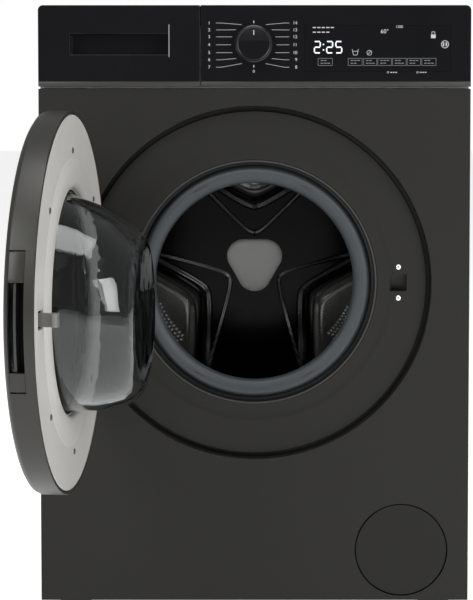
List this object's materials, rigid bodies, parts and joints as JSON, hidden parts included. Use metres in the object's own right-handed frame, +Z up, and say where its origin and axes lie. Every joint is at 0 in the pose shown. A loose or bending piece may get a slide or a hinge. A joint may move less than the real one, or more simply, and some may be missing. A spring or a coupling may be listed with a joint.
{
  "type": "front load washing machine",
  "caption": "Front loading washing machine with a round glass door swung open, a knob and touch display console, detergent drawer, sprung tub and belt driven drum.",
  "frame": {"origin": "on the floor, under the middle of the whole machine with its door open as stored", "axes": "+Z up, front faces -Y, +X to the user's right"},
  "size_m": [0.597, 1.0127, 0.845],
  "materials": {
    "graphite_steel": "satin",
    "zinc_steel": "satin",
    "screw_steel": "satin",
    "black_gloss": "gloss",
    "display_glass": "gloss",
    "board_plastic": "matte",
    "grey_plastic": "satin",
    "white_plastic": "satin",
    "black_plastic": "satin",
    "dark_casting": "satin",
    "gasket_rubber": "matte",
    "spring_steel": "satin",
    "hose_rubber": "matte",
    "rim_plastic": "satin",
    "smoked_cover": "gloss",
    "liner_plastic": "satin",
    "clear_glass": "gloss",
    "hook_plastic": "satin",
    "graphite_plastic": "satin",
    "concrete": "rough",
    "motor_metal": "satin",
    "belt_rubber": "matte",
    "drum_steel": "polished",
    "lifter_plastic": "satin",
    "spider_metal": "satin",
    "foot_rubber": "matte"
  },
  "bodies": {
    "cabinet": {"front_panel": "graphite_steel", "left_side_panel": "graphite_steel", "right_side_panel": "graphite_steel", "rear_panel": "zinc_steel", "rear_service_cover": "graphite_steel", "rear_screws": "screw_steel", "top_cover": "graphite_steel", "base_frame": "zinc_steel", "upper_crossbars": "zinc_steel", "console_fascia": "black_gloss", "display_window": "display_glass", "control_board": "board_plastic", "dispenser_housing": "grey_plastic", "inlet_valve": "white_plastic", "mains_gland": "black_plastic", "door_lock": "black_plastic", "hinge_bracket": "dark_casting", "front_screws": "screw_steel", "door_gasket": "gasket_rubber", "suspension_springs": "spring_steel", "hatch_surround": "black_plastic", "pump_body": "black_plastic", "sump_hose": "hose_rubber", "drain_pipe": "grey_plastic"},
    "door": {"door_frame": "rim_plastic", "door_cover": "smoked_cover", "door_inner_liner": "liner_plastic", "door_screws": "screw_steel", "door_glass": "clear_glass", "door_hinge_plate": "dark_casting", "door_grip_cup": "black_plastic"},
    "door_handle_lever": {"door_handle": "black_plastic"},
    "door_hook_lever": {"door_hook": "hook_plastic"},
    "drawer": {"drawer_front": "black_gloss", "drawer_tray": "white_plastic"},
    "knob": {"program_knob": "black_gloss"},
    "hatch": {"filter_hatch": "graphite_plastic"},
    "filter": {"pump_filter": "white_plastic"},
    "impeller": {"pump_impeller": "white_plastic"},
    "tub": {"tub_front_half": "white_plastic", "tub_rear_half": "white_plastic", "front_counterweights": "concrete", "tub_bearings": "screw_steel", "heater": "screw_steel", "drive_motor": "motor_metal", "drive_belt": "belt_rubber"},
    "drum": {"drum_shell": "drum_steel", "drum_lifters": "lifter_plastic", "drum_hub_cap": "lifter_plastic", "drum_spider": "spider_metal", "drum_pulley": "spider_metal"},
    "motor_rotor": {"motor_pulley": "screw_steel"},
    "left_damper_outer": {"left_damper_tube": "black_plastic"},
    "right_damper_outer": {"right_damper_tube": "black_plastic"},
    "left_damper_inner": {"left_damper_rod": "screw_steel"},
    "right_damper_inner": {"right_damper_rod": "screw_steel"},
    "front_left_foot_body": {"front_left_foot": "foot_rubber"},
    "front_right_foot_body": {"front_right_foot": "foot_rubber"},
    "rear_left_foot_body": {"rear_left_foot": "foot_rubber"},
    "rear_right_foot_body": {"rear_right_foot": "foot_rubber"}
  },
  "joints": [
    {"name": "door_hinge", "type": "hinge", "parent": "cabinet", "child": "door", "pos_m": [-0.226, -0.04139, 0.46], "axis": [0, 0, -1], "range_deg": [-95, 15]},
    {"name": "door_handle_pull", "type": "hinge", "parent": "door", "child": "door_handle_lever", "pos_m": [-0.26994, -0.48625, 0.46], "axis": [0, 0, -1], "range_deg": [0, 12], "stiffness_Nm_per_rad": 1},
    {"name": "door_hook_release", "type": "hinge", "parent": "door", "child": "door_hook_lever", "pos_m": [-0.25516, -0.46646, 0.46], "axis": [0, 0, 1], "range_deg": [0, 9.6]},
    {"name": "drawer_slide", "type": "slide", "parent": "cabinet", "child": "drawer", "axis": [0, -1, 0], "range_m": [0, 0.2]},
    {"name": "knob_turn", "type": "hinge", "parent": "cabinet", "child": "knob", "pos_m": [-0.001, -0.02939, 0.7915], "axis": [0, 1, 0], "continuous": true},
    {"name": "hatch_hinge", "type": "hinge", "parent": "cabinet", "child": "hatch", "pos_m": [0.205, -0.02939, 0.021], "axis": [1, 0, 0], "range_deg": [0, 75]},
    {"name": "filter_unscrew", "type": "hinge", "parent": "cabinet", "child": "filter", "pos_m": [0.205, 0.00061, 0.086], "axis": [0, 1, 0], "range_deg": [0, 180]},
    {"name": "impeller_spin", "type": "hinge", "parent": "cabinet", "child": "impeller", "pos_m": [0.205, 0.07061, 0.086], "axis": [0, 1, 0], "continuous": true},
    {"name": "tub_bounce", "type": "slide", "parent": "cabinet", "child": "tub", "axis": [0, 0, 1], "range_m": [-0.01, 0.01], "stiffness_N_per_m": 18000, "springref_m": 0.01303, "deforming": ["suspension_springs", "door_gasket", "sump_hose"]},
    {"name": "drum_spin", "type": "hinge", "parent": "tub", "child": "drum", "pos_m": [0, 0.17061, 0.46], "axis": [0, 1, 0], "continuous": true},
    {"name": "motor_spin", "type": "hinge", "parent": "tub", "child": "motor_rotor", "pos_m": [0, 0.41061, 0.128], "axis": [0, 1, 0], "continuous": true},
    {"name": "left_damper_tilt", "type": "hinge", "parent": "cabinet", "child": "left_damper_outer", "pos_m": [-0.215, 0.24061, 0.05], "axis": [0, -1, 0], "range_deg": [-1.2, 1.2]},
    {"name": "left_damper_slide", "type": "slide", "parent": "left_damper_outer", "child": "left_damper_inner", "axis": [0.343, 0, 0.9393], "range_m": [-0.0098, 0.0098]},
    {"name": "right_damper_tilt", "type": "hinge", "parent": "cabinet", "child": "right_damper_outer", "pos_m": [0.215, 0.24061, 0.05], "axis": [0, 1, 0], "range_deg": [-1.2, 1.2]},
    {"name": "right_damper_slide", "type": "slide", "parent": "right_damper_outer", "child": "right_damper_inner", "axis": [-0.343, 0, 0.9393], "range_m": [-0.0098, 0.0098]},
    {"name": "front_left_foot_screw", "type": "slide", "parent": "cabinet", "child": "front_left_foot_body", "axis": [0, 0, -1], "range_m": [0, 0.015]},
    {"name": "front_right_foot_screw", "type": "slide", "parent": "cabinet", "child": "front_right_foot_body", "axis": [0, 0, -1], "range_m": [0, 0.015]},
    {"name": "rear_left_foot_screw", "type": "slide", "parent": "cabinet", "child": "rear_left_foot_body", "axis": [0, 0, -1], "range_m": [0, 0.015]},
    {"name": "rear_right_foot_screw", "type": "slide", "parent": "cabinet", "child": "rear_right_foot_body", "axis": [0, 0, -1], "range_m": [0, 0.015]}
  ],
  "couplings": [
    {"joint": "door_hook_release", "follows": "door_handle_pull", "ratio": 0.8},
    {"joint": "motor_spin", "follows": "drum_spin", "ratio": 12.727},
    {"joint": "left_damper_tilt", "follows": "tub_bounce", "rad_per_m": 1.8101},
    {"joint": "left_damper_slide", "follows": "tub_bounce", "ratio": 0.9393},
    {"joint": "right_damper_tilt", "follows": "tub_bounce", "rad_per_m": 1.8101},
    {"joint": "right_damper_slide", "follows": "tub_bounce", "ratio": 0.9393}
  ]
}
